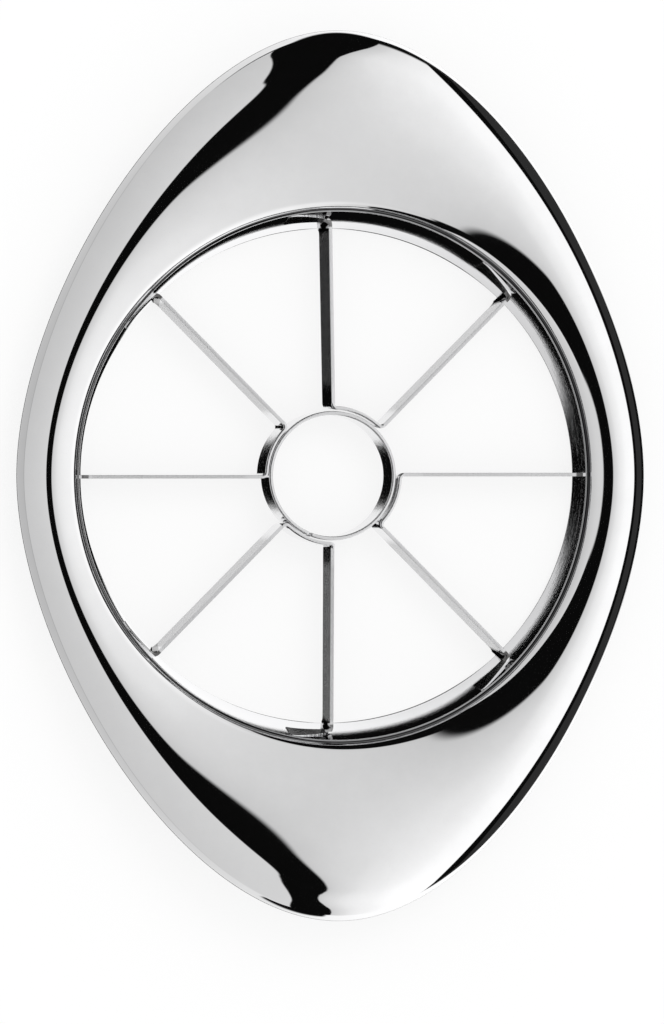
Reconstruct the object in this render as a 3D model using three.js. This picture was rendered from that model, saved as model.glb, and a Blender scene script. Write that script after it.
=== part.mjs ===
// Hand-held fruit divider: a polished lemon-shaped frame round a flared blade ring,
// a rolled core tube and four folded strips that give the eight blades.
// Millimetres, +Z up; X runs across the frame and Y along it, and the blades stand on Z = 0.

import * as THREE from 'three';
import { LoftGeometry } from 'three/addons/geometries/LoftGeometry.js';
import { mergeVertices } from 'three/addons/utils/BufferGeometryUtils.js';

const degree = Math.PI / 180;

// Frame outline
const frameLength = 165;
const frameWidth = 119;
const flankShare = 0.388;
const tipShare = 0.505;
const sectionCount = 128;

// Frame section: crowned top, rolled lip and rim, small outer edge band
const lipHeight = 9.0;
const endRise = 4.4;
const lipRoll = 1.8;
const lipTilt = 48 * degree;
const crownTopShare = 0.71;
const crownTiltFlank = 12.3 * degree;
const crownTiltEnd = 16.9 * degree;
const rimRollFlank = 9.1;
const rimRollEnd = 9.6;
const rimTiltFlank = 25.5 * degree;
const rimTiltEnd = 20 * degree;
const bandWidth = 1.0;
const bandTilt = 64 * degree;
const edgeHeight = 0.5;
const crownSteps = 14;

// Frame underside: sheet, collar round the ring
const sheet = 1.3;
const collarSheet = 1.1;
const collarDepth = 3.2;
const hollowSteps = 7;

// Blade ring
const ringRadius = 46.5;
const ringFoot = 1.8;
const ringTop = 8.2;
const ringSheet = 0.4;
const ringFlareShare = 0.22;
const ringSteps = 96;

// Core tube
const coreRadius = 12;
const coreSheet = 0.7;
const seamGap = 0.35;
const seamAngle = 246.7 * degree;
const arcSteps = 72;

// Folded blade strips
const bladeHeight = 8;
const bladeSheet = 0.65;
const bladeSpacing = 45 * degree;
const bladeOffset = 0.2;
const hubBend = 0.9;
const endBend = 1.2;
const tabLength = 7;
const tabFoot = 5.2;
const tabRiseShare = 0.85;
const bendSteps = 6;

// Fits
const weldTolerance = 0.0001;
const ringClearance = 0.3;
const hubClearance = 0.3;

const polished = { color: 0xdcdcdc, roughness: 0.06, metalness: 1 };
const steel = { color: 0xc4c5c7, roughness: 0.25, metalness: 1 };

function ringInner(height) {
  return ringRadius + ringFlareShare * (height - ringFoot);
}

// The ring's top edge and the frame's lip rise together towards both ends.
function saddle(angle) {
  return endRise * Math.sin(angle) ** 2;
}

function lipRadius(height) {
  return ringInner(height) + ringSheet + ringClearance;
}

function quarter(signX, signY) {
  const halfWidth = signX * frameWidth / 2;
  const halfLength = signY * frameLength / 2;
  const flank = new THREE.Vector2(halfWidth, 0);
  const flankHandle = new THREE.Vector2(halfWidth, halfLength * flankShare);
  const tipHandle = new THREE.Vector2(halfWidth * tipShare, halfLength);
  const tip = new THREE.Vector2(0, halfLength);
  return signX === signY
    ? new THREE.CubicBezierCurve(flank, flankHandle, tipHandle, tip)
    : new THREE.CubicBezierCurve(tip, tipHandle, flankHandle, flank);
}

function frameOutline() {
  const outline = new THREE.CurvePath();
  outline.add(quarter(1, 1));
  outline.add(quarter(-1, 1));
  outline.add(quarter(-1, -1));
  outline.add(quarter(1, -1));
  return outline;
}

// Outward tilt of the polished top at a distance from the lip: the crown, rolled down at both edges.
// endShare is 0 at the flanks and 1 at the ends.
function topTilt(fromLip, width, endShare) {
  const rimRoll = THREE.MathUtils.lerp(rimRollFlank, rimRollEnd, endShare);
  const rimTilt = THREE.MathUtils.lerp(rimTiltFlank, rimTiltEnd, endShare);
  const crownTilt = THREE.MathUtils.lerp(crownTiltFlank, crownTiltEnd, endShare);
  const lipShare = Math.max(0, 1 - fromLip / lipRoll);
  const rimShare = Math.max(0, 1 - (width - fromLip) / rimRoll);
  const crown = crownTilt * Math.cos(Math.PI / 2 * fromLip / width / crownTopShare);
  return rimTilt * rimShare ** 2 * (3 - rimShare) / 2 - crown - lipTilt * lipShare ** 2;
}

// Top profile as distance from the lip, height over the lip and tilt.
function topProfile(width, endShare) {
  const fineSteps = crownSteps * 20;
  const profile = [{ reach: 0, rise: 0, tilt: topTilt(0, width, endShare) }];
  let rise = 0;
  for (let step = 1; step <= fineSteps; step++) {
    const reach = width * step / fineSteps;
    const middle = reach - width / fineSteps / 2;
    rise -= Math.tan(topTilt(middle, width, endShare)) * width / fineSteps;
    profile.push({ reach, rise, tilt: topTilt(reach, width, endShare) });
  }
  return profile;
}

// Stations crowd at the lip and the rim, where the top turns fastest.
function stationIndices(count, last) {
  const indices = [];
  for (let station = 0; station <= count; station++) {
    const share = station / count;
    const eased = share - Math.sin(2 * Math.PI * share) / (2 * Math.PI) * 0.8;
    indices.push(Math.round(eased * last));
  }
  return indices;
}

// One closed section of the frame, in reach from the lip and height over the table.
function frameSection(width, angle) {
  const lip = lipHeight + saddle(angle);
  const crownWidth = width - bandWidth;
  const profile = topProfile(crownWidth, Math.sin(angle) ** 2);
  const last = profile.length - 1;
  const section = [];
  for (const index of stationIndices(crownSteps, last)) {
    section.push([profile[index].reach, lip + profile[index].rise]);
  }
  const rimHeight = lip + profile[last].rise;
  const bandFoot = rimHeight - bandWidth * Math.tan(bandTilt);
  section.push([width, bandFoot]);
  section.push([width, bandFoot - edgeHeight]);
  section.push([width - sheet, bandFoot - edgeHeight]);
  const hollow = stationIndices(hollowSteps, last).slice(1).reverse();
  for (const index of hollow) {
    const { reach, rise, tilt } = profile[index];
    section.push([reach - sheet * Math.sin(tilt), lip + rise - sheet * Math.cos(tilt)]);
  }
  const collarFoot = lip - collarDepth;
  const lean = ringFlareShare * collarDepth;
  section.push([collarSheet, lip - sheet]);
  section.push([collarSheet - lean, collarFoot]);
  section.push([-lean, collarFoot]);
  return section;
}

function frameBody() {
  const sections = [];
  for (const rim of frameOutline().getSpacedPoints(sectionCount)) {
    const angle = rim.angle();
    const lip = lipRadius(lipHeight + saddle(angle));
    const section = frameSection(rim.length() - lip, angle);
    sections.push(section.map(([reach, height]) => {
      const radius = lip + reach;
      return new THREE.Vector3(radius * Math.cos(angle), radius * Math.sin(angle), height);
    }));
  }
  return closedLoft(sections);
}

function bladeRing() {
  const sections = [];
  for (let step = 0; step <= ringSteps; step++) {
    const angle = 2 * Math.PI * step / ringSteps;
    const top = ringTop + saddle(angle);
    const corners = [
      [ringInner(ringFoot), ringFoot],
      [ringInner(top), top],
      [ringInner(top) + ringSheet, top],
      [ringInner(ringFoot) + ringSheet, ringFoot],
    ];
    sections.push(corners.map(([radius, height]) => (
      new THREE.Vector3(radius * Math.cos(angle), radius * Math.sin(angle), height)
    )));
  }
  return closedLoft(sections);
}

// A loft whose last section lies on its first, welded into one ring.
function closedLoft(sections) {
  const loft = new LoftGeometry(sections);
  const skin = new THREE.BufferGeometry();
  skin.setAttribute('position', loft.attributes.position);
  skin.setIndex(loft.index);
  return mergeVertices(skin, weldTolerance);
}

function coreTube() {
  const outerGap = seamGap / 2 / coreRadius;
  const innerRadius = coreRadius - coreSheet;
  const innerGap = seamGap / 2 / innerRadius;
  const turn = 2 * Math.PI;
  const profile = new THREE.Shape();
  profile.absarc(0, 0, coreRadius, outerGap, turn - outerGap, false);
  profile.absarc(0, 0, innerRadius, turn - innerGap, innerGap, true);
  profile.closePath();
  const tube = new THREE.ExtrudeGeometry(profile, {
    depth: bladeHeight,
    curveSegments: arcSteps,
    bevelEnabled: false,
  });
  return tube.rotateZ(seamAngle);
}

// Middle line of half a strip: hub arc, hub bend, blade and, where side is not 0, end bend and tab.
// The hub arc starts on the X axis, and side +1 turns the tab away from the hub arc.
function halfStrip(side) {
  const hubRadius = coreRadius + hubClearance + bladeSheet / 2;
  const endRadius = ringInner(0) - ringClearance - bladeSheet / 2;
  const halfAngle = bladeSpacing / 2;
  const line = new THREE.Path();
  const bendDrop = hubBend - bladeOffset;
  const bendReach = Math.sqrt((hubRadius + hubBend) ** 2 - bendDrop ** 2);
  const bendAngle = Math.atan2(bendDrop, bendReach);
  line.absarc(0, 0, hubRadius, -halfAngle, -bendAngle, false);
  line.absarc(bendReach, -bendDrop, hubBend, Math.PI - bendAngle, Math.PI / 2, true);
  if (side === 0) {
    line.lineTo(endRadius + bladeSheet / 2, bladeOffset);
  } else {
    const endDrop = bladeOffset + side * endBend;
    const endReach = Math.sqrt((endRadius - endBend) ** 2 - endDrop ** 2);
    const endAngle = Math.atan2(endDrop, endReach);
    const tabAngle = endAngle + side * tabLength / endRadius;
    line.absarc(endReach, endDrop, endBend, -side * Math.PI / 2, endAngle, side < 0);
    line.absarc(0, 0, endRadius, endAngle, tabAngle, side < 0);
  }
  return linePoints(line).map((point) => point.rotateAround(new THREE.Vector2(), halfAngle));
}

// Straight runs keep their two ends, bends and arcs get steps.
function linePoints(line) {
  const points = [];
  for (const curve of line.curves) {
    const steps = curve.isLineCurve ? 1 : bendSteps;
    for (const point of curve.getPoints(steps)) {
      const previous = points[points.length - 1];
      if (!previous || previous.distanceTo(point) > bladeSheet / 10) points.push(point);
    }
  }
  return points;
}

function mirrored(points) {
  return points.map((point) => new THREE.Vector2(point.x, -point.y)).reverse();
}

// Sheet outline: the middle line moved half a sheet to either side.
function sheetOutline(points) {
  const left = [];
  const right = [];
  points.forEach((point, index) => {
    const before = points[Math.max(0, index - 1)];
    const after = points[Math.min(points.length - 1, index + 1)];
    const back = point.clone().sub(before).normalize();
    const ahead = after.clone().sub(point).normalize();
    const along = back.add(ahead).normalize();
    const across = new THREE.Vector2(-along.y, along.x).multiplyScalar(bladeSheet / 2);
    left.push(point.clone().add(across));
    right.push(point.clone().sub(across));
  });
  return new THREE.Shape([...right, ...left.reverse()]);
}

// A tab is the upper part of its blade's end. Its lower edge climbs over the bend to the tab's foot,
// and its top edge climbs with the ring's top edge, from the blade to the end of the tab.
function tabHeight(height, angle, radius, middle) {
  const fromBlade = Math.abs(Math.abs(angle) - bladeSpacing / 2) * radius;
  const intoBend = Math.max(0, fromBlade - bladeOffset - bladeSheet / 2);
  return height === 0
    ? tabFoot * Math.min(1, 2 * intoBend / endBend)
    : height + saddle(middle + angle) * tabRiseShare * Math.min(1, fromBlade / tabLength);
}

// A folded strip: both halves joined at the hub arc's middle, its ends leaning with the ring.
// It is drawn with the hub arc's middle on the X axis and then turned to its place.
function bladeStrip(firstSide, secondSide, middle) {
  const first = halfStrip(firstSide);
  const second = mirrored(halfStrip(secondSide));
  const outline = sheetOutline([...second, ...first.slice(1)]);
  const strip = new THREE.ExtrudeGeometry(outline, { depth: bladeHeight, bevelEnabled: false });
  const position = strip.attributes.position;
  const vertex = new THREE.Vector3();
  for (let index = 0; index < position.count; index++) {
    vertex.fromBufferAttribute(position, index);
    const radius = Math.hypot(vertex.x, vertex.y);
    if (radius < ringRadius - 2 * endBend) continue;
    const height = tabHeight(vertex.z, Math.atan2(vertex.y, vertex.x), radius, middle);
    const leaning = 1 + ringFlareShare * height / radius;
    position.setXYZ(index, vertex.x * leaning, vertex.y * leaning, height);
  }
  return strip.rotateZ(middle);
}

function named(name, geometry, finish) {
  const mesh = new THREE.Mesh(geometry, new THREE.MeshStandardMaterial(finish));
  mesh.name = name;
  return mesh;
}

// Each strip: its name, the angle half way between its blades, and the way each end's tab turns.
const strips = [
  { name: 'blade_strip_upper_right', middle: 67.5 * degree, first: 1, second: -1 },
  { name: 'blade_strip_lower_right', middle: -22.5 * degree, first: 0, second: 1 },
  { name: 'blade_strip_lower_left', middle: -112.5 * degree, first: -1, second: 1 },
  { name: 'blade_strip_upper_left', middle: 157.5 * degree, first: 0, second: -1 },
];

const divider = new THREE.Group();
divider.add(named('frame_body', frameBody(), polished));
divider.add(named('blade_ring', bladeRing(), steel));
divider.add(named('core_tube', coreTube(), steel));
for (const { name, middle, first, second } of strips) {
  divider.add(named(name, bladeStrip(first, second, middle), steel));
}

export default divider;
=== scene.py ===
"""Studio scene of a hand-held fruit divider: a polished lemon-shaped frame with a blade ring in it.

The divider lies flat on a pale floor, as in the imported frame: X runs across it, Y along it, Z up.
The sizes of its pieces are in millimetres and become metres where a mesh is made; the studio's are
in metres. Angles are in radians unless a name or a class says degrees.
"""

import logging
import math
from dataclasses import dataclass
from enum import Enum
from typing import Callable, Sequence

import bmesh
import bpy
from mathutils import Matrix, Vector

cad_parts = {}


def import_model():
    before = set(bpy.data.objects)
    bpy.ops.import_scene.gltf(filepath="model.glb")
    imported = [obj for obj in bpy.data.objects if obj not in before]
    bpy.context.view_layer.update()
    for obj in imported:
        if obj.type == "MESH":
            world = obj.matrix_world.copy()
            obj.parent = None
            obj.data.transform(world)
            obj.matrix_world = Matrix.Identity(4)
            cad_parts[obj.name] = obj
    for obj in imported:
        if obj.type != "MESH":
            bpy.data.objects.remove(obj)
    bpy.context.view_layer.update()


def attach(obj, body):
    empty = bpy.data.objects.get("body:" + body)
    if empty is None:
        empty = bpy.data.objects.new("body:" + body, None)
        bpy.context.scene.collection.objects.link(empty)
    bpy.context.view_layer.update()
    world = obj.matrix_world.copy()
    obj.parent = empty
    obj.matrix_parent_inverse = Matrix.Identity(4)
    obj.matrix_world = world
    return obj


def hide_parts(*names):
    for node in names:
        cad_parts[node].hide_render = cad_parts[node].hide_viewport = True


log = logging.getLogger("divider")

Point = tuple[float, float]
Colour = tuple[float, float, float, float]

MM = 0.001
TURN = 2 * math.pi
HALVINGS = 48
MERGE_DISTANCE = 0.000001
VIEW_TILT_DEGREES = 11.6


# Shared measures


@dataclass(frozen=True)
class Plan:
    """Measures that several pieces share, in millimetres."""

    length: float = 165.0
    width: float = 119.0
    flank_share: float = 0.388
    tip_share: float = 0.505
    lip_height: float = 9.0
    end_rise: float = 4.4
    ring_radius: float = 46.6
    ring_foot: float = 1.8
    ring_top: float = 8.2
    ring_sheet: float = 0.35
    flare: float = 0.22
    foot_pull: float = 0.8
    core_radius: float = 12.0
    blade_height: float = 8.0

    def end_share(self, angle: float) -> float:
        """0 at the flanks, 1 at the two ends."""
        return math.sin(angle) ** 2

    def saddle(self, angle: float) -> float:
        """Rise of the lip and of the ring's top edge at this angle."""
        return self.end_rise * self.end_share(angle)

    def ring_inner(self, height: float) -> float:
        """Inner radius of the flared ring at a height."""
        return self.ring_radius + self.flare * (height - self.ring_foot)

    def ring_foot_inner(self, angle: float) -> float:
        """Inner radius of the ring's foot, which is pulled in at the two ends."""
        return self.ring_radius - self.foot_pull * self.end_share(angle)

    def lip_radius(self, height: float) -> float:
        """Radius of the frame's lip at a height, where it lies against the ring."""
        return self.ring_inner(height) + self.ring_sheet

    def rim_radius(self, angle: float) -> float:
        """Distance of the outer outline from the middle, found by halving.

        Args:
            angle: polar angle of the wanted point.

        Returns:
            Radius of the outline there, in millimetres.
        """
        across, along = abs(math.cos(angle)), abs(math.sin(angle))
        low, high = 0.0, 1.0
        for _ in range(HALVINGS):
            share = (low + high) / 2
            x, y = self.quarter_point(share)
            if y * across > x * along:
                high = share
            else:
                low = share
        return math.hypot(*self.quarter_point((low + high) / 2))

    def quarter_point(self, share: float) -> Point:
        """Point of a quarter of the outline.

        Args:
            share: 0 at the flank, 1 at the tip.

        Returns:
            The point's distance across and along.
        """
        rest = 1 - share
        x = self.width / 2 * (
            rest**3 + 3 * rest**2 * share + 3 * rest * share**2 * self.tip_share
        )
        y = self.length / 2 * (
            3 * rest**2 * share * self.flank_share + 3 * rest * share**2 + share**3
        )
        return x, y


PLAN = Plan()


# Shader maths


@dataclass(frozen=True)
class Marks:
    """Small random marks: their number in a metre, and how rough their form is."""

    scale: float
    detail: float = 2.0
    roughness: float = 0.5


class Socket:
    """A shader output with Python's operators; each operator adds one Math node."""

    def __init__(self, tree: "Tree", link: "bpy.types.NodeSocket | None") -> None:
        """Keeps the tree that the output belongs to and the output itself."""
        self.tree = tree
        self.link = link

    def maths(self, operation: str, *values: "Socket | float", clamp: bool = False) -> "Socket":
        """One Math node on these values."""
        return self.tree.node(
            "ShaderNodeMath", {"operation": operation, "use_clamp": clamp}, dict(enumerate(values))
        )

    def __add__(self, other: "Socket | float") -> "Socket":
        """Sum."""
        return self.maths("ADD", self, other)

    __radd__ = __add__

    def __sub__(self, other: "Socket | float") -> "Socket":
        """Difference."""
        return self.maths("SUBTRACT", self, other)

    def __rsub__(self, other: "Socket | float") -> "Socket":
        """Difference, with this value second."""
        return self.maths("SUBTRACT", other, self)

    def __mul__(self, other: "Socket | float") -> "Socket":
        """Product."""
        return self.maths("MULTIPLY", self, other)

    __rmul__ = __mul__

    def __truediv__(self, other: "Socket | float") -> "Socket":
        """Quotient."""
        return self.maths("DIVIDE", self, other)

    def __rtruediv__(self, other: "Socket | float") -> "Socket":
        """Quotient, with this value below."""
        return self.maths("DIVIDE", other, self)

    def __pow__(self, other: "Socket | float") -> "Socket":
        """Power."""
        return self.maths("POWER", self, other)

    def __abs__(self) -> "Socket":
        """Size without sign."""
        return self.maths("ABSOLUTE", self)

    def root(self) -> "Socket":
        """Square root."""
        return self.maths("SQRT", self)

    def arccosine(self) -> "Socket":
        """Angle whose cosine this is."""
        return self.maths("ARCCOSINE", self)

    def high(self, other: "Socket | float") -> "Socket":
        """Larger of the two."""
        return self.maths("MAXIMUM", self, other)

    def low(self, other: "Socket | float") -> "Socket":
        """Smaller of the two."""
        return self.maths("MINIMUM", self, other)

    def step(self, start: "Socket | float", end: "Socket | float") -> "Socket":
        """Smooth rise from 0 at start to 1 at end.

        Args:
            start: value with result 0.
            end: value with result 1; below start it turns the rise round.

        Returns:
            The eased share, held between 0 and 1.
        """
        share = self.maths("DIVIDE", self - start, end - start, clamp=True)
        return share * share * (3.0 - 2.0 * share)

    def past(self, limit: float, softness: float) -> "Socket":
        """1 above a limit and 0 below it, with this much of a soft stretch to each side."""
        return self.step(limit - softness, limit + softness)

    def before(self, limit: float, softness: float) -> "Socket":
        """1 below a limit and 0 above it, with this much of a soft stretch to each side."""
        return self.step(limit + softness, limit - softness)


class Tree:
    """A node tree that is being written."""

    def __init__(self, tree: bpy.types.NodeTree) -> None:
        """Starts from an empty tree.

        Args:
            tree: the tree to write, which loses the nodes that it has.
        """
        self.nodes = tree.nodes
        self.links = tree.links
        self.nodes.clear()

    def node(
        self,
        kind: str,
        settings: dict[str, object] | None = None,
        values: dict[str | int, object] | None = None,
        out: str | int = 0,
    ) -> Socket:
        """Adds one node.

        Args:
            kind: Blender's name of the node type.
            settings: properties, set first; "points" are those of a float curve.
            values: constant or Socket for each input, by name or index.
            out: the output to return.

        Returns:
            The wanted output.
        """
        made = self.nodes.new(kind)
        for name, value in (settings or {}).items():
            if name == "points":
                self._fill_curve(made.mapping, value)
            else:
                setattr(made, name, value)
        for name, value in (values or {}).items():
            if isinstance(value, Socket):
                self.links.new(value.link, made.inputs[name])
            else:
                made.inputs[name].default_value = value
        return Socket(self, made.outputs[out] if made.outputs else None)

    @staticmethod
    def _fill_curve(mapping: bpy.types.CurveMapping, points: Sequence[Point]) -> None:
        """Gives a float curve its points, with smooth handles.

        Args:
            mapping: the curve to fill.
            points: (place, value) pairs between 0 and 1.
        """
        curve = mapping.curves[0]
        while len(curve.points) < len(points):
            curve.points.new(1.0, 1.0)
        for point, place in zip(curve.points, points):
            point.location = place
            point.handle_type = "AUTO"
        mapping.update()

    def curve(self, at: Socket, points: Sequence[Point]) -> Socket:
        """A value read from a smooth curve through points.

        Args:
            at: where to read.
            points: (place, value) pairs in any unit, with rising places.

        Returns:
            The value at that place.
        """
        first, last = points[0][0], points[-1][0]
        low = min(value for _, value in points)
        span = max(value for _, value in points) - low
        shares = [((x - first) / (last - first), (y - low) / span) for x, y in points]
        place = at.maths("DIVIDE", at - first, last - first, clamp=True)
        values = {"Factor": 1.0, "Value": place}
        read = self.node("ShaderNodeFloatCurve", {"points": shares}, values)
        return read * span + low

    def mix(self, share: Socket | float, first: Socket | float, second: Socket | float) -> Socket:
        """First where share is 0, second where it is 1."""
        return self.node("ShaderNodeMix", {"data_type": "FLOAT"}, {0: share, 2: first, 3: second})

    def mix_colour(self, share: Socket | float, first: object, second: object) -> Socket:
        """First colour where share is 0, second where it is 1."""
        return self.node(
            "ShaderNodeMix", {"data_type": "RGBA"}, {0: share, 6: first, 7: second}, out=2
        )

    def separate(self, vector: Socket) -> tuple[Socket, Socket, Socket]:
        """Splits a vector.

        Args:
            vector: the vector to split.

        Returns:
            Its X, Y and Z.
        """
        first = self.node("ShaderNodeSeparateXYZ", None, {0: vector})
        outputs = first.link.node.outputs
        return first, Socket(self, outputs[1]), Socket(self, outputs[2])

    def noise(self, at: Socket, marks: Marks) -> Socket:
        """Small random marks.

        Args:
            at: where to read them.
            marks: their number and form.

        Returns:
            A value between 0 and 1.
        """
        form = {"Scale": marks.scale, "Detail": marks.detail, "Roughness": marks.roughness}
        return self.node("ShaderNodeTexNoise", {"noise_dimensions": "3D"}, {"Vector": at, **form})


def grey(tone: float) -> float:
    """Light that shows as this tone of 0 to 255, by the display's own curve."""
    share = tone / 255
    return share / 12.92 if share <= 0.04045 else ((share + 0.055) / 1.055) ** 2.4


def off_middle(x: Socket, y: Socket) -> Socket:
    """Distance from the middle of the ring, in millimetres."""
    return (x * x + y * y).root() * (1 / MM)


def off_wall(tree: Tree, place: Socket) -> Socket:
    """Distance outward of the ring's inner wall.

    Args:
        tree: the material's tree.
        place: position on the piece, in metres.

    Returns:
        The distance in millimetres, below 0 inside the ring.
    """
    x, y, z = tree.separate(place)
    height = z * (1 / MM)
    return off_middle(x, y) - ((height - PLAN.ring_foot) * PLAN.flare + PLAN.ring_radius)


# Finishes


class Grain(Enum):
    """Way the fine lines of a steel surface run: marks in a metre, on the flat and upright."""

    AROUND = (90.0, 6000.0)
    ALONG = (160.0, 5200.0)


@dataclass(frozen=True)
class JointShade:
    """Painted shade: a near-black base colour in the joint between ring and frame.

    The painted shade reaches from inner to outer, in millimetres outward of the ring's inner wall.
    A second share paints the same shade over the rest of the ring's upper edge.
    """

    inner: float
    outer: float
    softness: float = 0.03
    top_edge_shade: float = 0.0
    top_edge_shade_fade: Point = (0.02, 0.06)
    # near-black colour of the painted shade
    tone: Colour = (0.02, 0.02, 0.022, 1.0)

    def share(self, tree: Tree, place: Socket, smear: Socket) -> Socket:
        """Share of painted shade.

        Args:
            tree: the material's tree.
            place: position on the piece, in metres.
            smear: not used; the surface's smears don't reach into the joint.

        Returns:
            1 in the joint, 0 outside it.
        """
        # painted shade: near-black in the joint between ring and frame, and partly over the ring's
        # upper edge
        off = off_wall(tree, place)
        dark = off.past(self.inner, self.softness) * off.before(self.outer, self.softness)
        if self.top_edge_shade:
            dark = dark.high(off.step(*self.top_edge_shade_fade) * self.top_edge_shade)
        return dark


@dataclass(frozen=True)
class BladeEndShade:
    """Painted shade on the blades' ends, where they meet the ring.

    It reaches inward of the ring's inner wall, in millimetres. The tabs' upper edges stay bright.
    """

    reach: float = 1.9
    fade: float = 0.3
    tab_fade: Point = (-0.5, -0.4)
    upward: Point = (0.5, 0.8)
    smeared: Point = (0.3, 0.6)
    least: float = 0.6
    smear_share: float = 0.3
    # near-black colour of the painted shade
    tone: Colour = (0.05, 0.048, 0.046, 1.0)

    def share(self, tree: Tree, place: Socket, smear: Socket) -> Socket:
        """Share of painted shade.

        Args:
            tree: the material's tree.
            place: position on the piece, in metres.
            smear: smears of the surface, between 0 and 1.

        Returns:
            0 away from the blades' ends, up to 0.9 next to the ring.
        """
        # painted shade: dark near the ring's wall, its strength varied by the smears, upward-facing
        # tab edges left bright
        off = off_wall(tree, place)
        facing = tree.separate(tree.node("ShaderNodeNewGeometry", out="True Normal"))[2]
        near = off.step(-self.reach, self.fade - self.reach)
        top_edge = off.step(*self.tab_fade) * facing.step(*self.upward)
        return near * (1 - top_edge) * (smear.step(*self.smeared) * self.smear_share + self.least)


@dataclass(frozen=True)
class SteelFinish:
    """Bare or polished steel with handling marks.

    Clouds and smears make up the wear, which is worn at 0 and clean at 1. The blades' own
    roughness comes on top of it, between blade_start and blade_end, in millimetres from the
    middle of the ring. The bump depth is in millimetres too.
    """

    name: str
    slot: str
    tone: tuple[float, float, float]
    roughness: float
    roughness_spread: float
    grain: Grain | None = None
    grain_depth: float = 0.0
    sparkle: float = 0.0
    # painted shade mixed into the base colour: in the ring–frame joint or at the blades' ends
    dark: JointShade | BladeEndShade | None = None
    blade_roughness: float = 0.0
    blade_start: Point = (15.0, 18.0)
    blade_end: Point = (46.0, 45.0)
    clouds: Marks = Marks(45.0, 3.0)
    smears: Marks = Marks(260.0, 4.0, 0.65)
    lines: Marks = Marks(1.0)
    dots: Marks = Marks(2900.0, 2.0, 0.6)
    cloud_share: float = 0.55
    clean: Point = (0.35, 0.75)
    worn_share: float = 0.955
    least_roughness: float = 0.01
    line_height: float = 0.25
    bump_depth: float = 0.01

    def material(self) -> bpy.types.Material:
        """Writes the material.

        Returns:
            The new material.
        """
        made = bpy.data.materials.new(self.name)
        made.use_nodes = True
        tree = Tree(made.node_tree)
        place = tree.node("ShaderNodeTexCoord", out="Object")
        smear = tree.noise(place, self.smears)
        wear = tree.noise(place, self.clouds) * self.cloud_share + smear * (1 - self.cloud_share)
        rough = (wear - 0.5) * (2 * self.roughness_spread) + self.roughness
        if self.blade_roughness:
            rough = rough + self._on_blade(tree, place) * self.blade_roughness
        worn_tone = (*[channel * self.worn_share for channel in self.tone], 1.0)
        tint = tree.mix_colour(wear.step(*self.clean), worn_tone, (*self.tone, 1.0))
        # painted shade darkens the base colour here
        if self.dark:
            tint = tree.mix_colour(self.dark.share(tree, place, smear), tint, self.dark.tone)
        values: dict[str | int, object] = {"Base Color": tint, "Metallic": 1.0}
        if self.grain:
            fine = self._grain(tree, place)
            rough = rough + (fine - 0.5) * self.grain_depth
            height = fine * self.line_height + tree.noise(place, self.dots) * self.sparkle
            bump = {"Strength": 1.0, "Distance": self.bump_depth * MM, "Height": height}
            values["Normal"] = tree.node("ShaderNodeBump", None, bump)
        values["Roughness"] = rough.high(self.least_roughness)
        surface = tree.node("ShaderNodeBsdfPrincipled", None, values)
        tree.node("ShaderNodeOutputMaterial", None, {"Surface": surface})
        return made

    def _on_blade(self, tree: Tree, place: Socket) -> Socket:
        """Share of the blades' own roughness.

        Args:
            tree: the material's tree.
            place: position on the piece, in metres.

        Returns:
            1 on the straight blades, 0 at the hub and at the ring.
        """
        x, y, _ = tree.separate(place)
        radius = off_middle(x, y)
        return radius.step(*self.blade_start) * radius.step(*self.blade_end)

    def _grain(self, tree: Tree, place: Socket) -> Socket:
        """Fine lines of the finish.

        Args:
            tree: the material's tree.
            place: position on the piece, in metres.

        Returns:
            A value between 0 and 1.
        """
        x, y, z = tree.separate(place)
        flat, upright = self.grain.value
        at = tree.node("ShaderNodeCombineXYZ", None, {0: x * flat, 1: y * flat, 2: z * upright})
        return tree.noise(at, self.lines)


POLISHED = SteelFinish(
    "polished_chrome",
    "polished_frame",
    (0.93, 0.93, 0.935),
    roughness=0.022,
    roughness_spread=0.010,
    # painted shade in the groove where the frame's collar lies against the ring
    dark=JointShade(0.3, 0.42),
)
RING_STEEL = SteelFinish(
    "bright_ring_steel",
    "ring_steel",
    (0.88, 0.88, 0.89),
    roughness=0.03,
    roughness_spread=0.015,
    grain=Grain.AROUND,
    grain_depth=0.01,
    sparkle=0.25,
    # painted shade on the ring's outer wall in the joint and, at 0.6, over its upper edge
    dark=JointShade(0.27, 0.8, top_edge_shade=0.6),
)
BLADE_STEEL = SteelFinish(
    "brushed_blade_steel",
    "blade_steel",
    (0.84, 0.84, 0.85),
    roughness=0.08,
    roughness_spread=0.04,
    grain=Grain.ALONG,
    grain_depth=0.04,
    sparkle=1.0,
    # painted shade where the blades' ends meet the ring
    dark=BladeEndShade(),
    blade_roughness=0.16,
)


# Modelling helpers


def deselect() -> None:
    """Leaves every object unselected and out of edit mode."""
    if bpy.context.object and bpy.context.object.mode != "OBJECT":
        bpy.ops.object.mode_set(mode="OBJECT")
    bpy.ops.object.select_all(action="DESELECT")


def pick(obj: bpy.types.Object, wanted: Callable[[Vector], bool]) -> None:
    """In edit mode, selects the points that answer.

    Args:
        obj: object in edit mode.
        wanted: test on a point's place.
    """
    bpy.ops.mesh.select_mode(type="VERT")
    bpy.ops.mesh.select_all(action="DESELECT")
    mesh = bmesh.from_edit_mesh(obj.data)
    for vert in mesh.verts:
        vert.select_set(wanted(vert.co))
    mesh.select_flush_mode()
    bmesh.update_edit_mesh(obj.data)


def apply_modifier(obj: bpy.types.Object, kind: str, **settings: object) -> None:
    """Adds a modifier and applies it.

    Args:
        obj: the shape.
        kind: Blender's name of the modifier type.
        settings: the modifier's properties.
    """
    made = obj.modifiers.new(kind.lower(), kind)
    for name, value in settings.items():
        setattr(made, name, value)
    bpy.context.view_layer.objects.active = obj
    bpy.ops.object.modifier_apply(modifier=made.name)


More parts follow.
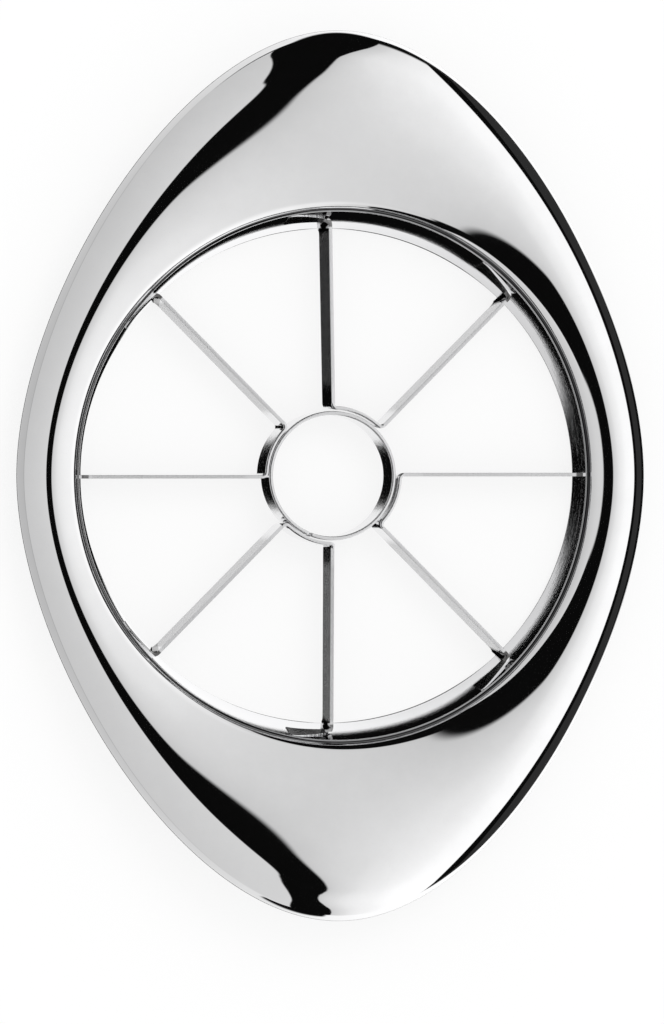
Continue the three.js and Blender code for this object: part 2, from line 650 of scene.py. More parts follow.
def round_edges(obj: bpy.types.Object, width: float, segments: int, sharp_degrees: float) -> None:
    """Rounds the sharp edges.

    Args:
        obj: the shape.
        width: size of the cut, in millimetres.
        segments: flats of each rounded edge.
        sharp_degrees: edges that turn by more than this are rounded.
    """
    apply_modifier(
        obj,
        "BEVEL",
        width=width * MM,
        segments=segments,
        limit_method="ANGLE",
        angle_limit=math.radians(sharp_degrees),
    )


def settle(
    obj: bpy.types.Object, name: str, smooth_degrees: float, flat_faces: bool = False
) -> bpy.types.Object:
    """Ends edit mode, places the object at the origin, turns its faces out and shades it.

    Args:
        obj: finished shape.
        name: name of the piece.
        smooth_degrees: edges sharper than this stay sharp.
        flat_faces: True where the large faces stay flat between rounded edges.

    Returns:
        The same object.
    """
    deselect()
    obj.name = obj.data.name = name
    obj.select_set(True)
    bpy.context.view_layer.objects.active = obj
    bpy.ops.object.transform_apply(location=True, rotation=True, scale=True)
    bpy.ops.object.mode_set(mode="EDIT")
    bpy.ops.mesh.select_all(action="SELECT")
    bpy.ops.mesh.remove_doubles(threshold=MERGE_DISTANCE)
    bpy.ops.mesh.normals_make_consistent(inside=False)
    bpy.ops.object.mode_set(mode="OBJECT")
    bpy.ops.object.shade_smooth_by_angle(angle=math.radians(smooth_degrees))
    if flat_faces:
        apply_modifier(obj, "WEIGHTED_NORMAL", mode="FACE_AREA", weight=100, keep_sharp=True)
    obj.select_set(False)
    return obj


def loft(name: str, sections: Sequence[Sequence[Vector]]) -> bpy.types.Object:
    """Skins closed sections that stand round an opening into one closed body.

    Args:
        name: name of the piece.
        sections: equal lists of points, the last section next to the first.

    Returns:
        The new object.
    """
    count, size = len(sections), len(sections[0])
    points = [point for section in sections for point in section]
    faces = []
    for row in range(count):
        here, ahead = row * size, (row + 1) % count * size
        for column in range(size):
            beside = (column + 1) % size
            faces.append((here + column, ahead + column, ahead + beside, here + beside))
    mesh = bpy.data.meshes.new(name)
    mesh.from_pydata(points, [], faces)
    made = bpy.data.objects.new(name, mesh)
    bpy.context.collection.objects.link(made)
    return made


def round_corners(profile: Sequence[Point], radii: Sequence[float], steps: int) -> list[Point]:
    """Rounds the corners of an open profile.

    Args:
        profile: points of the profile.
        radii: size of the cut at each point, 0 where the point stays.
        steps: pieces of each rounded corner.

    Returns:
        The rounded profile.
    """
    made: list[Point] = []
    for index, (x, z) in enumerate(profile):
        cut = radii[index]
        if cut == 0 or index in (0, len(profile) - 1):
            made.append((x, z))
            continue
        corner = Vector((x, z))
        back = Vector(profile[index - 1]) - corner
        ahead = Vector(profile[index + 1]) - corner
        start = corner + back.normalized() * min(cut, back.length / 2)
        end = corner + ahead.normalized() * min(cut, ahead.length / 2)
        for step in range(steps + 1):
            share = step / steps
            point = start.lerp(corner, share).lerp(corner.lerp(end, share), share)
            made.append((point.x, point.y))
    return made


def stand_up(profile: Sequence[Point], angle: float, start: float = 0.0) -> list[Vector]:
    """Stands a profile up at a polar angle.

    Args:
        profile: (reach, height) points, in millimetres.
        angle: polar angle of the section.
        start: distance of the profile's origin from the middle.

    Returns:
        Its points in metres.
    """
    across, along = math.cos(angle), math.sin(angle)
    return [
        Vector(((start + reach) * across, (start + reach) * along, height)) * MM
        for reach, height in profile
    ]


def full_turn(steps: int) -> list[float]:
    """Polar angles of this many even steps round the opening."""
    return [TURN * step / steps for step in range(steps)]


# Pieces


@dataclass
class FrameBody:
    """Polished frame: a loft, because its lip rises and falls like a saddle.

    The tilts of lip, crown, rim and band are in degrees.
    """

    plan: Plan = PLAN
    finish: SteelFinish = POLISHED
    lip_roll: float = 1.73
    lip_tilt: float = 58.0
    crown_top: float = 0.719
    crown_flank: float = 11.56
    crown_end: float = 14.58
    roll_flank: float = 8.18
    roll_end: float = 9.94
    rim_flank: float = 31.96
    rim_end: float = 30.34
    band_width: float = 1.0
    band_tilt: float = 64.0
    edge_height: float = 0.5
    sheet: float = 1.3
    collar_sheet: float = 1.1
    collar_depth: float = 3.2
    edge_rounds: tuple[float, float, float] = (0.22, 0.3, 0.18)
    edge_steps: int = 4
    collar_round: float = 0.25
    collar_steps: int = 3
    under_start_share: float = 0.25
    turns: int = 720
    lip_steps: int = 18
    crown_steps: int = 54
    under_steps: int = 20
    slope_steps: int = 6

    def tilt(self, reach: float, width: float, share: float) -> float:
        """Outward tilt of the top, in degrees.

        Args:
            reach: distance from the lip.
            width: reach of the rim.
            share: 0 at the flanks, 1 at the ends.

        Returns:
            The tilt there.
        """
        roll = self.roll_flank + (self.roll_end - self.roll_flank) * share
        rim = self.rim_flank + (self.rim_end - self.rim_flank) * share
        crown = self.crown_flank + (self.crown_end - self.crown_flank) * share
        lip_share = max(0.0, 1 - reach / self.lip_roll)
        rim_share = max(0.0, 1 - (width - reach) / roll)
        arch = crown * math.cos(math.pi / 2 * reach / width / self.crown_top)
        return rim * rim_share**2 * (3 - rim_share) / 2 - arch - self.lip_tilt * lip_share**2

    def top(self, width: float, share: float) -> list[tuple[float, float, float]]:
        """Top profile.

        Args:
            width: reach of the rim.
            share: 0 at the flanks, 1 at the ends.

        Returns:
            (reach, rise over the lip, tilt in degrees) from lip to rim.
        """
        reaches = [self.lip_roll * step / self.lip_steps for step in range(self.lip_steps + 1)]
        rest = width - self.lip_roll
        reaches += [
            self.lip_roll + rest * step / self.crown_steps
            for step in range(1, self.crown_steps + 1)
        ]
        made = [(0.0, 0.0, self.tilt(0.0, width, share))]
        rise = 0.0
        for before, after in zip(reaches, reaches[1:]):
            part_reach = (after - before) / self.slope_steps
            for part in range(self.slope_steps):
                tilt = self.tilt(before + part_reach * (part + 0.5), width, share)
                rise -= math.tan(math.radians(tilt)) * part_reach
            made.append((after, rise, self.tilt(after, width, share)))
        return made

    def _edge(self, last: Sequence[Point], width: float) -> list[Point]:
        """Rim and edge band, rounded.

        Args:
            last: the last two points of the top profile.
            width: distance from the lip to the outer outline.

        Returns:
            Points from the rim, down the band and in under it.
        """
        foot = last[-1][1] - self.band_width * math.tan(math.radians(self.band_tilt))
        low = foot - self.edge_height
        corners = [*last, (width, foot), (width, low), (width - self.sheet, low)]
        return round_corners(corners, [0, *self.edge_rounds, 0], self.edge_steps)[1:]

    def _under(self, top: Sequence[tuple[float, float, float]], lip: float) -> list[Point]:
        """Hollow underside, one sheet below the top.

        Args:
            top: (reach, rise, tilt) of the top profile.
            lip: height of the lip.

        Returns:
            Points from the rim back toward the lip.
        """
        first = len(top) * self.under_start_share
        made = []
        for step in range(self.under_steps, -1, -1):
            row = round(first + (len(top) - 1 - first) * step / self.under_steps)
            reach, rise, tilt = top[row]
            lean = math.radians(tilt)
            made.append(
                (reach - self.sheet * math.sin(lean), lip + rise - self.sheet * math.cos(lean))
            )
        return made

    def _collar(self, lip: float) -> list[Point]:
        """Collar that lies against the ring.

        Args:
            lip: height of the lip.

        Returns:
            Points down its outer wall and back up toward the lip.
        """
        low = lip - self.collar_depth
        drop = self.plan.flare * self.collar_depth
        corners = [
            (self.collar_sheet, lip - self.sheet),
            (self.collar_sheet - drop, low),
            (-drop, low),
            (0.0, lip),
        ]
        rounds = [0, self.collar_round, self.collar_round, 0]
        return round_corners(corners, rounds, self.collar_steps)[:-1]

    def section(self, angle: float) -> list[Vector]:
        """Closed section of the frame.

        Args:
            angle: polar angle of the section.

        Returns:
            Its points in metres, from the lip over the crown and back underneath.
        """
        plan = self.plan
        lip = plan.lip_height + plan.saddle(angle)
        start = plan.lip_radius(lip)
        width = plan.rim_radius(angle) - start
        top = self.top(width - self.band_width, plan.end_share(angle))
        profile = [(reach, lip + rise) for reach, rise, _ in top]
        closed = profile[:-1] + self._edge(profile[-2:], width)
        closed += self._under(top, lip) + self._collar(lip)
        return stand_up(closed, angle, start)

    def build(self) -> bpy.types.Object:
        """Makes and dresses the frame.

        Returns:
            The finished piece.
        """
        sections = [self.section(angle) for angle in full_turn(self.turns)]
        made = loft("polished_frame_body", sections)
        made = settle(made, "polished_frame_body", smooth_degrees=50.0)
        made.data.materials.append(self.finish.material())
        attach(made, "root")
        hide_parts("frame_body")
        return made


@dataclass
class BladeRing:
    """Thin flared ring; lofted because its top edge follows the saddle of the lip."""

    plan: Plan = PLAN
    finish: SteelFinish = RING_STEEL
    turns: int = 480
    knee: float = 5.65
    grind: float = 0.7
    corner: float = 0.06
    knee_corner: float = 0.3
    corner_steps: int = 3
    ground_share: float = 0.6
    top_sheet: float = 0.3

    def section(self, angle: float) -> list[Vector]:
        """Closed section of the ring, with its foot pulled in at the ends and ground sharp.

        Args:
            angle: polar angle of the section.

        Returns:
            Its points in metres, up the inner wall and down the outer one.
        """
        plan = self.plan
        top = plan.ring_top + plan.saddle(angle)
        foot = plan.ring_foot_inner(angle)
        knee = plan.ring_inner(self.knee)
        lip = plan.ring_inner(top)
        lean = (knee - foot) / (self.knee - plan.ring_foot)
        corners = [
            (knee, self.knee),
            (lip, top),
            (lip + self.top_sheet, top),
            (knee + plan.ring_sheet, self.knee),
            (foot + plan.ring_sheet, plan.ring_foot),
            (foot + plan.ring_sheet * self.ground_share, plan.ring_foot),
            (foot + lean * self.grind, plan.ring_foot + self.grind),
            (knee, self.knee),
        ]
        cut = self.corner
        rounds = [0, cut, cut, self.knee_corner, cut, 0, cut, 0]
        return stand_up(round_corners(corners, rounds, self.corner_steps)[:-1], angle)

    def build(self) -> bpy.types.Object:
        """Makes and dresses the ring.

        Returns:
            The finished piece.
        """
        sections = [self.section(angle) for angle in full_turn(self.turns)]
        made = loft("flared_blade_ring", sections)
        made = settle(made, "flared_blade_ring", smooth_degrees=25.0, flat_faces=True)
        made.data.materials.append(self.finish.material())
        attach(made, "root")
        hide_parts("blade_ring")
        return made


@dataclass
class CoreTube:
    """Rolled tube with an open seam."""

    plan: Plan = PLAN
    finish: SteelFinish = BLADE_STEEL
    sheet: float = 0.7
    seam: float = 0.35
    seam_degrees: float = 246.7
    aside: float = -0.2
    turns: int = 180
    edge_round: float = 0.12

    def build(self) -> bpy.types.Object:
        """Spins the wall's section round the middle and rounds its edges.

        Returns:
            The finished piece.
        """
        deselect()
        middle = self.plan.core_radius - self.sheet / 2
        height = self.plan.blade_height
        bpy.ops.mesh.primitive_plane_add(
            size=1.0,
            location=((middle + self.aside) * MM, 0, height / 2 * MM),
            rotation=(math.pi / 2, 0, 0),
        )
        wall = bpy.context.object
        wall.scale = (self.sheet * MM, height * MM, 1.0)
        bpy.ops.object.transform_apply(location=True, rotation=True, scale=True)
        gap = self.seam / middle
        bpy.ops.object.mode_set(mode="EDIT")
        bpy.ops.mesh.select_all(action="SELECT")
        bpy.ops.mesh.spin(
            steps=self.turns,
            angle=TURN - gap,
            center=(self.aside * MM, 0, 0),
            axis=(0, 0, 1),
            dupli=False,
        )
        bpy.ops.mesh.select_all(action="SELECT")
        bpy.ops.mesh.remove_doubles(threshold=MERGE_DISTANCE)
        bpy.ops.mesh.normals_make_consistent(inside=False)
        bpy.ops.transform.rotate(
            value=-(math.radians(self.seam_degrees) + gap / 2),
            orient_axis="Z",
            center_override=(self.aside * MM, 0, 0),
        )
        bpy.ops.object.mode_set(mode="OBJECT")
        round_edges(wall, self.edge_round, segments=3, sharp_degrees=50.0)
        wall = settle(wall, "rolled_core_tube", smooth_degrees=40.0, flat_faces=True)
        wall.data.materials.append(self.finish.material())
        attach(wall, "root")
        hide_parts("core_tube")
        return wall


class Tab(Enum):
    """Way the end of a blade turns at the ring."""

    AWAY = 1
    NONE = 0
    TOWARD = -1


@dataclass
class BladeStrip:
    """One folded strip: two blades with the hub arc between them.

    The first blade's sway is its shift to the side at the hub and at the ring. A tab is cut away
    below its foot, from where it has turned aside by more than its cut share of the bend.
    """

    node: str
    name: str
    middle_degrees: float
    first: Tab
    second: Tab
    plan: Plan = PLAN
    finish: SteelFinish = BLADE_STEEL
    first_lean_degrees: float = 0.0
    first_sway: Point = (0.0, 0.0)
    sheet: float = 0.65
    spacing_degrees: float = 45.0
    offset: float = 0.2
    hub_bend: float = 0.9
    end_bend: float = 1.2
    tab: float = 7.0
    tab_foot: float = 6.2
    tab_rise: float = 0.85
    hub_gap: float = 0.3
    weld_gap: float = -0.2
    foot_slack: float = 0.1
    foot_straight: float = 0.55
    tab_taper: float = 0.3
    tab_cut_share: float = 1.3
    edge_round: float = 0.08
    hub_steps: int = 12
    bend_steps: int = 10
    tab_steps: int = 8

    @property
    def half_spacing(self) -> float:
        """Half the angle between the strip's blades."""
        return math.radians(self.spacing_degrees) / 2

    @staticmethod
    def arc(centre: Point, radius: float, start: float, end: float, steps: int) -> list[Point]:
        """Points of an arc.

        Args:
            centre: middle of the arc.
            radius: its radius.
            start: polar angle of its start, which is left out.
            end: polar angle of its end.
            steps: number of points.

        Returns:
            The points.
        """
        return [
            (
                centre[0] + radius * math.cos(start + (end - start) * step / steps),
                centre[1] + radius * math.sin(start + (end - start) * step / steps),
            )
            for step in range(1, steps + 1)
        ]

    def half_line(self, tab: Tab) -> list[Point]:
        """Middle line of half a strip.

        Args:
            tab: way the blade's end turns.

        Returns:
            Points from the hub arc's middle to the ring.
        """
        hub = self.plan.core_radius + self.hub_gap + self.sheet / 2
        end = self.plan.ring_inner(0) - self.weld_gap - self.sheet / 2
        half = self.half_spacing
        drop = self.hub_bend - self.offset
        reach = math.sqrt((hub + self.hub_bend) ** 2 - drop**2)
        bend = math.atan2(drop, reach)
        line = [(hub * math.cos(half), -hub * math.sin(half))]
        line += self.arc((0, 0), hub, -half, -bend, self.hub_steps)
        line += self.arc(
            (reach, -drop), self.hub_bend, math.pi - bend, math.pi / 2, self.bend_steps
        )
        if tab is Tab.NONE:
            line.append((end + self.sheet / 2, self.offset))
        else:
            side = tab.value
            end_drop = self.offset + side * self.end_bend
            end_reach = math.sqrt((end - self.end_bend) ** 2 - end_drop**2)
            end_angle = math.atan2(end_drop, end_reach)
            line.append((end_reach, self.offset))
            line += self.arc(
                (end_reach, end_drop),
                self.end_bend,
                -side * math.pi / 2,
                end_angle,
                self.bend_steps,
            )
            turned = end_angle + side * self.tab / end
            line += self.arc((0, 0), end, end_angle, turned, self.tab_steps)
        across, along = math.cos(half), math.sin(half)
        return [(x * across - y * along, x * along + y * across) for x, y in line]

    def line(self) -> list[Point]:
        """Middle line of the whole strip.

        Returns:
            Points from the end of the second blade to the end of the first.
        """
        first = self.half_line(self.first)
        second = [(x, -y) for x, y in self.half_line(self.second)]
        return second[::-1] + first[1:]

    def _fit_ends(self, made: bpy.types.Object) -> None:
        """Cuts the tabs' lower half away, lets them climb and lean with the ring, tips the blades.

        Below the tabs the blades run straight on to the ring.

        Args:
            made: the ribbon, in edit mode, before it is turned to its place.
        """
        mesh = bmesh.from_edit_mesh(made.data)
        hub = (self.plan.core_radius + self.hub_bend) * MM
        end = (self.plan.ring_radius - 2 * self.end_bend) * MM
        dropped = []
        for vert in mesh.verts:
            angle, radius = math.atan2(vert.co.y, vert.co.x), math.hypot(vert.co.x, vert.co.y)
            if radius < hub:
                continue
            first = angle > 0
            side = self.half_spacing if first else -self.half_spacing
            along = Vector((math.cos(side), math.sin(side)))
            across = Vector((-along.y, along.x)) * (1 if first else -1)
            aside = vert.co.xy.dot(across) / MM - self.offset
            height = vert.co.z / MM
            if radius >= end:
                if height == 0 and abs(aside) > self.end_bend * self.tab_cut_share:
                    dropped.append(vert)
                elif height == 0:
                    vert.co.xy -= across * aside * self.foot_straight * MM
                else:
                    angle += math.radians(self.middle_degrees)
                    self._lean_with_ring(vert, angle, abs(aside))
            if first:
                out = min(1.0, (radius - hub) / (end - hub))
                sway = self.first_sway[0] * (1 - out) + self.first_sway[1] * out
                sway += math.tan(math.radians(self.first_lean_degrees)) * height
                settled = min(1.0, (radius - hub) / (self.hub_bend * MM))
                vert.co.xy += across * sway * settled * MM
        bmesh.ops.delete(mesh, geom=dropped, context="VERTS")
        bmesh.update_edit_mesh(made.data)

    def _lean_with_ring(self, vert: bmesh.types.BMVert, place: float, aside: float) -> None:
        """Lets a point of a tab climb with the ring's top edge and lean with its wall.

        Args:
            vert: a point above the strip's lower edge.
            place: polar angle of the point on the finished divider.
            aside: how far the point has turned away from the blade, in millimetres.
        """
        height = vert.co.z / MM
        over_foot = (height - self.tab_foot) / (self.plan.blade_height - self.tab_foot)
        over_foot = max(0.0, over_foot)
        rise = self.plan.saddle(place) * self.tab_rise * min(1.0, aside / self.tab) * over_foot
        vert.co.z += rise * MM
        pulled = self.foot_slack * self.plan.end_share(place) * (1 - over_foot)
        sunk = self.tab_taper * min(1.0, aside / self.tab)
        drift = self.plan.flare * (height + rise) - pulled + sunk
        vert.co.xy *= 1 + drift * MM / vert.co.xy.length

    def build(self) -> bpy.types.Object:
        """Draws the strip's edge point by point, gives it height, thickness and rounded edges.

        Returns:
            The finished piece.
        """
        deselect()
        line = self.line()
        bpy.ops.mesh.primitive_plane_add(size=1.0 * MM, location=(0, 0, 0))
        made = bpy.context.object
        bpy.ops.object.mode_set(mode="EDIT")
        pick(made, lambda point: point.x > 0 and point.y > 0)
        bpy.ops.mesh.select_all(action="INVERT")
        bpy.ops.mesh.delete(type="VERT")
        bpy.ops.mesh.select_all(action="SELECT")
        start = Vector((0.5, 0.5, 0)) * MM
        bpy.ops.transform.translate(value=Vector((*line[0], 0)) * MM - start)
        for before, after in zip(line, line[1:]):
            step = Vector((after[0] - before[0], after[1] - before[1], 0)) * MM
            bpy.ops.mesh.extrude_vertices_move(TRANSFORM_OT_translate={"value": step})
        bpy.ops.mesh.select_all(action="SELECT")
        for lift in (self.tab_foot, self.plan.blade_height - self.tab_foot):
            bpy.ops.mesh.extrude_edges_move(TRANSFORM_OT_translate={"value": (0, 0, lift * MM)})
        self._fit_ends(made)
        bpy.ops.mesh.select_all(action="SELECT")
        bpy.ops.mesh.normals_make_consistent(inside=False)
        bpy.ops.transform.rotate(
            value=-math.radians(self.middle_degrees), orient_axis="Z", center_override=(0, 0, 0)
        )
        bpy.ops.object.mode_set(mode="OBJECT")
        apply_modifier(
            made, "SOLIDIFY", thickness=self.sheet * MM, offset=0.0, use_even_offset=True
        )
        round_edges(made, self.edge_round, segments=2, sharp_degrees=60.0)
        for vert in made.data.vertices:
            vert.co.z = max(vert.co.z, 0.0)
        made = settle(made, self.name, smooth_degrees=50.0, flat_faces=True)
        made.data.materials.append(self.finish.material())
        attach(made, "root")
        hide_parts(self.node)
        return made


def strips() -> list[BladeStrip]:
    """The four folded strips, by the angle half way between their blades."""
    return [
        BladeStrip(
            "blade_strip_upper_right",
            "folded_strip_upper_right",
            67.5,
            Tab.AWAY,
            Tab.TOWARD,
            first_lean_degrees=-1.8,
            first_sway=(0.0, 0.62),
        ),
        BladeStrip(
            "blade_strip_lower_right", "folded_strip_lower_right", -22.5, Tab.NONE, Tab.AWAY
        ),
        BladeStrip(
            "blade_strip_lower_left",
            "folded_strip_lower_left",
            -112.5,
            Tab.TOWARD,
            Tab.AWAY,
            first_lean_degrees=-1.6,
            first_sway=(-0.35, -0.35),
        ),
        BladeStrip(
            "blade_strip_upper_left", "folded_strip_upper_left", 157.5, Tab.NONE, Tab.TOWARD
        ),
    ]


# Studio


@dataclass(frozen=True)
class LightCards:
    """Light cards that only reflections see; every other ray meets plain white light.

    Directions are in degrees: above the divider off the vertical, below it off straight down.
    An edge is a row of (along, across) points, and a light a row of (across, light) points.
    Below lie a white card right under the divider, a dark gap round it, and pale light beyond
    with a dark notch toward the lower end.
    """

    left_edge: Sequence[Point] = (
        (-95, -14.9), (-80, -14.1), (-70, -12.6), (-60, -10.6), (-50, -9.9), (-40, -9.2),
        (-30, -7.2), (-20, -5.2), (-10, -5.6), (0, -6.6), (10, -6.2), (20, -7.4), (30, -11.6),
        (40, -13.7), (50, -16.1), (60, -19.1), (70, -22), (80, -23.1), (90, -25.3),
    )
    right_edge: Sequence[Point] = (
        (-95, 9.1), (-80, 9.4), (-70, 9), (-58, 4.5), (-50, 2.4), (-43, 3), (-37, 5), (-30, 6.9),
        (-22, 7), (-15, 6.7), (-8, 6.4), (0, 6.4), (8, 6.6), (15, 7.3), (25, 8.4), (35, 10.4),
        (40, 13), (50, 20.6), (58, 27.5), (75, 39.3), (90, 45.7),
    )
    end_edge: Sequence[Point] = (
        (-95, 60), (-40, 60), (-12, 64), (0, 64.6), (12, 64), (40, 57), (90, 60),
    )
    left_light: Sequence[Point] = (
        (-90, grey(196)), (-50, grey(202)), (-20, grey(208)), (0, grey(214)),
    )
    right_light: Sequence[Point] = (
        (0, grey(200)), (3, grey(211)), (7, grey(220)), (12, grey(232)), (25, grey(246)),
        (35, 0.99), (60, 1.0),
    )
    level: float = 1.065
    level_fall: float = 0.0008
    far_fade: Point = (8.0, 9.5)
    far_light: float = grey(44)
    reach: float = 79.0
    reach_lean: float = 0.3
    reach_softness: float = 2.0
    softness: float = 0.5
    gap_light: float = 0.003
    horizon_softness: float = 0.02
    least_slope: float = 0.0000001
    under_left: float = -5.5
    under_right: float = 12.8
    under_half: float = 18.0
    under_left_softness: float = 0.8
    under_light: float = 0.93
    gap_end: float = 43.3
    gap_end_softness: float = 0.4
    gap_squeeze: float = 0.85
    gap_back: Point = (32.5, 38.5)
    gap_front: Point = (29.5, 37.0)
    gap_middle_softness: float = 2.0
    gap_shift: float = 10.0
    gap_power: float = 3.0
    gap_corner_softness: float = 0.08
    beyond_front: float = 54.0
    beyond_front_lean: float = 0.4
    beyond_right: float = 34.0
    beyond_right_lean: float = 0.35
    beyond_softness: float = 1.0
    beyond_light: float = 0.94
    beyond_rise: float = 0.0069
    beyond_most: float = 1.08
    notch_back: float = 53.0
    notch_left: float = -15.0
    notch_right: float = 7.0
    side_full: float = 60.0
    side_light: float = grey(46)

    def build(self) -> None:
        """Writes the world: white for the camera and for soft light, cards for reflections."""
        world = bpy.data.worlds.new("studio_light_cards")
        bpy.context.scene.world = world
        world.use_nodes = True
        tree = Tree(world.node_tree)
        x, y, z = tree.separate(tree.node("ShaderNodeTexCoord", out="Generated"))
        flat = (x * x + y * y).high(self.least_slope).root()
        angle = z.arccosine() * math.degrees(1)
        above = self._above(tree, angle * x / flat, angle * y / flat)
        below = self._below(x / flat, y / flat, 180.0 - angle)
        shown = tree.mix(z.past(0.0, self.horizon_softness), below, above)
        glossy = tree.node("ShaderNodeLightPath", out="Is Glossy Ray")
        light = tree.mix(glossy, 1.0, shown)
        surface = tree.node("ShaderNodeBackground", None, {"Color": light, "Strength": 1.0})
        tree.node("ShaderNodeOutputWorld", None, {"Surface": surface})

    def _above(self, tree: Tree, across: Socket, along: Socket) -> Socket:
        """Light from above: a grey card on the left, a paler one on the right, dim light past it.

        Args:
            tree: the world's tree.
            across: degrees off the vertical, across the divider.
            along: degrees off the vertical, along it.

        Returns:
            The light from each direction above.
        """
        soft = self.softness
        past_right = across - tree.curve(along, self.right_edge)
        end = tree.curve(along, self.end_edge)
        left = (tree.curve(along, self.left_edge) - across).step(-soft, soft)
        right = past_right.step(-soft, soft) * (end - across).step(-soft, soft)
        cards = left * tree.curve(across, self.left_light)
        cards = cards + right * tree.curve(past_right, self.right_light)
        far = (across - end).step(*self.far_fade) * self.far_light
        light = cards * (self.level - along * self.level_fall) + far
        within = (along + across * self.reach_lean).before(self.reach, self.reach_softness)
        return light * within + self.gap_light

    def _below(self, across: Socket, along: Socket, off: Socket) -> Socket:
        """Light from below: a white card under the divider, a dark gap round it, pale beyond.

        Args:
            across: share of the direction across the divider.
            along: share of the direction along it.
            off: degrees off straight down.

        Returns:
            The light from each direction below.
        """
        x, ahead = off * across, off * along
        y = abs(ahead)
        soft = self.beyond_softness
        card = x.past(self.under_left, self.under_left_softness)
        card = card * x.before(self.under_right, self.softness) * y.before(self.under_half, soft)
        front = ahead.past(0.0, self.gap_middle_softness)
        beyond = self._outside_gap(x, y, front)
        beyond = beyond * (self.beyond_front - ahead - x * self.beyond_front_lean).past(0.0, soft)
        beyond = beyond * (y * self.beyond_right_lean - x + self.beyond_right).past(0.0, soft)
        notch = y.past(self.notch_back, soft) * (1 - front)
        notch = notch * x.before(self.notch_right, soft) * x.past(self.notch_left, soft)
        pale = (x * self.beyond_rise + self.beyond_light).low(self.beyond_most)
        side = x.step(self.beyond_right, self.side_full) * self.side_light
        return card * self.under_light + beyond * (1 - notch) * pale + side + self.gap_light

    def _outside_gap(self, x: Socket, y: Socket, front: Socket) -> Socket:
        """Where the dark gap ends: past a round end, and past a rounded corner on the right.

        Args:
            x: degrees across the divider.
            y: degrees along it, without sign.
            front: 1 toward its upper end, 0 toward its lower one.

        Returns:
            0 in the gap, 1 outside it.
        """
        squeezed = (x - VIEW_TILT_DEGREES) * self.gap_squeeze
        round_end = (squeezed * squeezed + y * y).root()
        right, half = [
            front * (1 / ahead - 1 / back) + 1 / back
            for ahead, back in zip(self.gap_front, self.gap_back)
        ]
        corner = ((x + self.gap_shift).high(0.0) * right) ** self.gap_power
        corner = corner + (y * half) ** self.gap_power
        past_end = round_end.past(self.gap_end, self.gap_end_softness)
        return past_end.high(corner.past(1.0, self.gap_corner_softness))


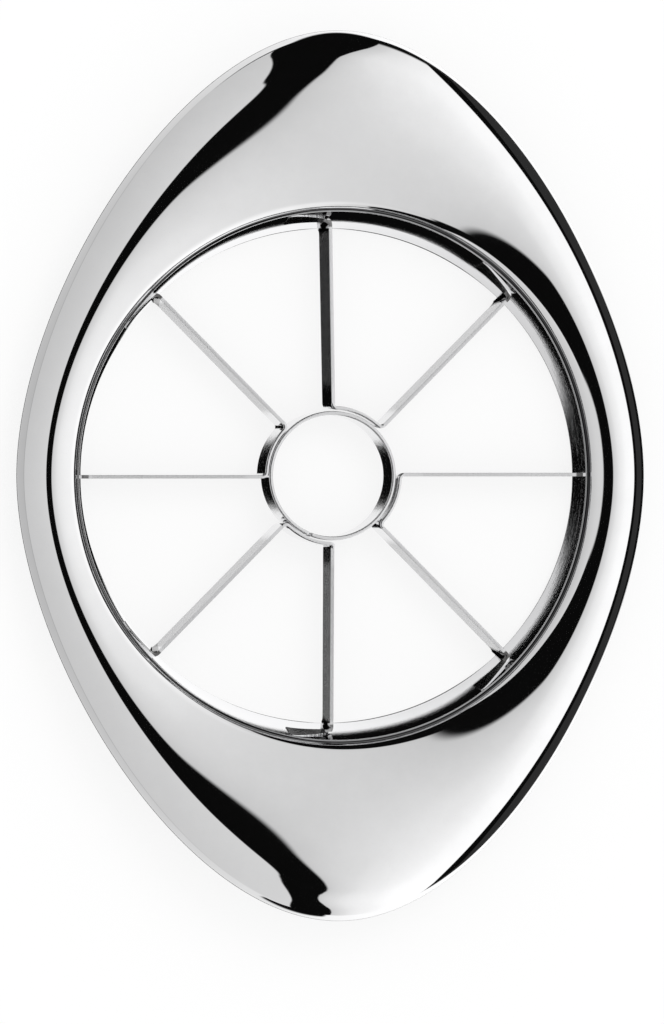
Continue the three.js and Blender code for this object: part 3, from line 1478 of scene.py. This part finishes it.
@dataclass(frozen=True)
class Studio:
    """Pale floor, soft light and the camera, slightly left of straight above.

    Lengths are in metres, and picture sizes and places in pixels.
    """

    cards: LightCards = LightCards()
    floor_size: float = 6.0
    floor_tone: float = 0.93
    floor_roughness: float = 0.9
    floor_glow_share: float = 0.82
    lamp_size: float = 0.9
    lamp_power: float = 4.0
    lamp_place: tuple[float, float, float] = (0.5, 0.7, 1.4)
    distance: float = 2.0
    target_height: float = 0.008
    pixels_per_mm: float = 5.385
    target_pixel: Point = (333.6, 475.7)
    picture_size: tuple[int, int] = (664, 1024)
    sensor_width_mm: float = 36.0
    view_depth: Point = (0.01, 20.0)

    def lay_floor(self) -> None:
        """Adds the floor, which keeps the divider's shadow."""
        deselect()
        bpy.ops.mesh.primitive_plane_add(size=self.floor_size, location=(0, 0, 0))
        floor = bpy.context.object
        floor.name = "pale_floor"
        made = bpy.data.materials.new("pale_floor")
        made.use_nodes = True
        tree = Tree(made.node_tree)
        tone = (self.floor_tone, self.floor_tone, self.floor_tone, 1.0)
        matt = {"Base Color": tone, "Roughness": self.floor_roughness, "Specular IOR Level": 0.0}
        base = tree.node("ShaderNodeBsdfPrincipled", None, matt)
        white = {"Color": (1.0, 1.0, 1.0, 1.0), "Strength": 1.0}
        glow = tree.node("ShaderNodeEmission", None, white)
        share = tree.node("ShaderNodeLightPath", out="Is Camera Ray") * self.floor_glow_share
        surface = tree.node("ShaderNodeMixShader", None, {0: share, 1: base, 2: glow})
        tree.node("ShaderNodeOutputMaterial", None, {"Surface": surface})
        floor.data.materials.append(made)
        floor.visible_glossy = False

    def hang_lamp(self) -> None:
        """Adds one broad soft lamp, for the direction of the shadow."""
        data = bpy.data.lights.new("soft_lamp", "AREA")
        data.shape = "DISK"
        data.size = self.lamp_size
        data.energy = self.lamp_power
        lamp = bpy.data.objects.new("soft_lamp", data)
        lamp.location = self.lamp_place
        lamp.rotation_euler = (-lamp.location).to_track_quat("-Z", "Y").to_euler()
        lamp.visible_glossy = False
        bpy.context.collection.objects.link(lamp)

    def place_camera(self) -> None:
        """Adds the camera, aimed so that its target stands at the target pixel."""
        data = bpy.data.cameras.new("camera")
        camera = bpy.data.objects.new("camera", data)
        bpy.context.collection.objects.link(camera)
        tilt = math.radians(VIEW_TILT_DEGREES)
        target = Vector((0, 0, self.target_height))
        back = Vector((-math.sin(tilt), 0, math.cos(tilt)))
        camera.location = target + back * self.distance
        camera.rotation_mode = "QUATERNION"
        up = Vector((0, 1, 0))
        right = up.cross(back).normalized()
        camera.rotation_quaternion = Matrix((right, up, back)).transposed().to_quaternion()
        wide, high = self.picture_size
        data.sensor_fit = "AUTO"
        data.sensor_width = self.sensor_width_mm
        data.lens = self.sensor_width_mm * self.distance / (high / self.pixels_per_mm * MM)
        data.shift_x = (wide / 2 - self.target_pixel[0]) / high
        data.shift_y = (self.target_pixel[1] - high / 2) / high
        data.clip_start, data.clip_end = self.view_depth
        data.dof.use_dof = False
        bpy.context.scene.camera = camera

    def build(self) -> None:
        """Sets up the whole studio."""
        self.cards.build()
        self.lay_floor()
        self.hang_lamp()
        self.place_camera()
        bpy.context.scene.view_settings.view_transform = "Standard"


def main() -> None:
    """Builds every piece and the studio, and logs each piece's face count."""
    logging.basicConfig(level=logging.INFO, format="%(name)s: %(message)s")
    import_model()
    for maker in (FrameBody(), BladeRing(), CoreTube(), *strips()):
        piece = maker.build()
        log.info("%s: %d faces", piece.name, len(piece.data.polygons))
    Studio().build()


if __name__ == "__main__":
    main()
